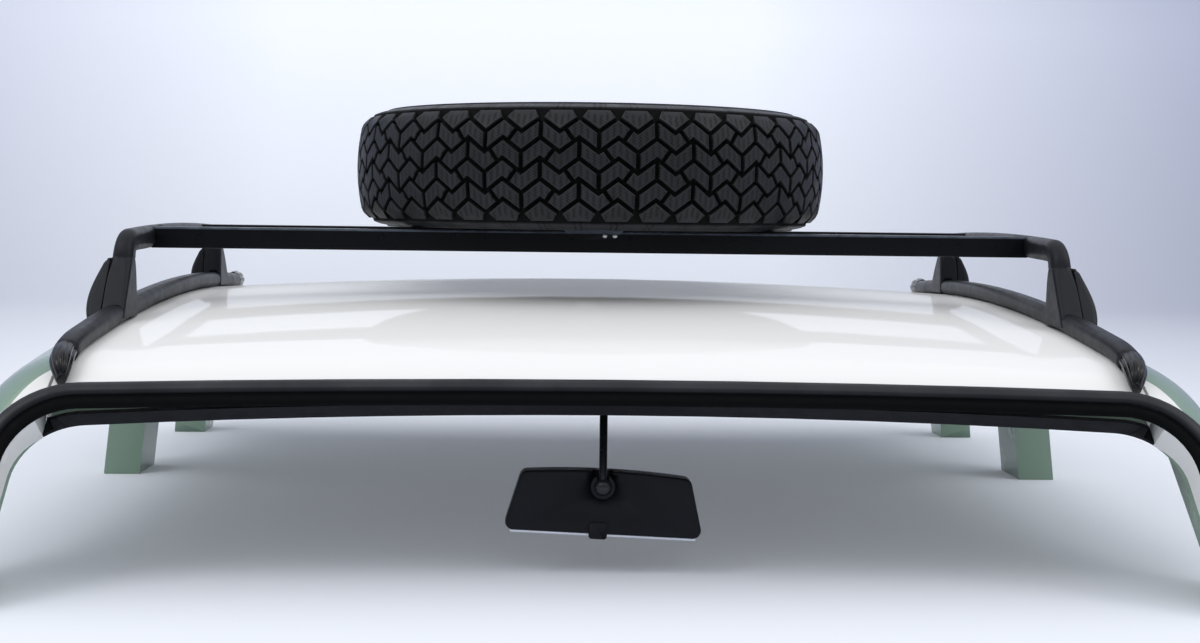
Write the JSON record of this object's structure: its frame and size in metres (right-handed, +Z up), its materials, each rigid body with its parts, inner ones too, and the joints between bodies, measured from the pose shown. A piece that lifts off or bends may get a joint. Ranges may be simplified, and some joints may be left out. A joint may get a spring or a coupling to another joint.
{
  "type": "car roof section with roof rack and spare wheel",
  "caption": "Roof section of a small off-road car: roof rails, a rack of side members, feet and crossbars, a spare wheel, the windscreen's rubber surround and an adjustable mirror.",
  "frame": {"origin": "middle of the bounding box's floor, between the pillars' cut ends", "axes": "+Z up, the car's front towards -Y, the car's own left towards +X"},
  "size_m": [1.248, 1.312, 0.4653],
  "materials": {
    "bar_black": "satin",
    "body_green": "gloss",
    "boot_rubber": "gloss",
    "foot_plastic": "satin",
    "frame_steel": "satin",
    "lining": "matt",
    "mirror_plastic": "satin",
    "mirror_silver": "polished",
    "nut_plastic": "matt",
    "rail_black": "satin",
    "roof_white": "gloss",
    "seal_rubber": "satin",
    "stem_steel": "satin",
    "trim_plastic": "matt",
    "tyre_rubber": "matt",
    "wheel_steel": "satin",
    "zinc_steel": "satin"
  },
  "bodies": {
    "roof_section": {"bar_clip_front": "bar_black", "bar_clip_rear": "bar_black", "body_side_left": "body_green", "body_side_right": "body_green", "clamp_plate": "zinc_steel", "crossbar_front": "bar_black", "crossbar_rear": "bar_black", "foot_cover_front_left": "foot_plastic", "foot_cover_front_right": "foot_plastic", "foot_cover_rear_left": "foot_plastic", "foot_cover_rear_right": "foot_plastic", "foot_front_left": "foot_plastic", "foot_front_right": "foot_plastic", "foot_rear_left": "foot_plastic", "foot_rear_right": "foot_plastic", "front_header": "frame_steel", "hand_nut": "nut_plastic", "header_trim": "trim_plastic", "headlining": "lining", "hold_down_stud": "zinc_steel", "mirror_base": "mirror_plastic", "mirror_stem": "stem_steel", "rack_side_left": "foot_plastic", "rack_side_right": "foot_plastic", "rail_boot_front_left": "boot_rubber", "rail_boot_front_right": "boot_rubber", "rail_boot_rear_left": "boot_rubber", "rail_boot_rear_right": "boot_rubber", "rail_left": "rail_black", "rail_right": "rail_black", "rear_header": "frame_steel", "rim": "wheel_steel", "roof_panel": "roof_white", "tyre": "tyre_rubber", "wheel_strap": "zinc_steel", "windscreen_seal": "seal_rubber"},
    "ball_cup": {"mirror_cup": "mirror_plastic"},
    "mirror": {"mirror_housing": "mirror_plastic", "mirror_glass": "mirror_silver", "mirror_tab": "mirror_plastic"}
  },
  "joints": [
    {"name": "mirror_swivel", "type": "hinge", "parent": "roof_section", "child": "ball_cup", "pos_m": [0, -0.47035, 0.088], "axis": [0, 0, 1], "range_deg": [-20, 20]},
    {"name": "mirror_tilt", "type": "hinge", "parent": "ball_cup", "child": "mirror", "pos_m": [0, -0.47035, 0.088], "axis": [1, 0, 0], "range_deg": [-15, 15]}
  ]
}
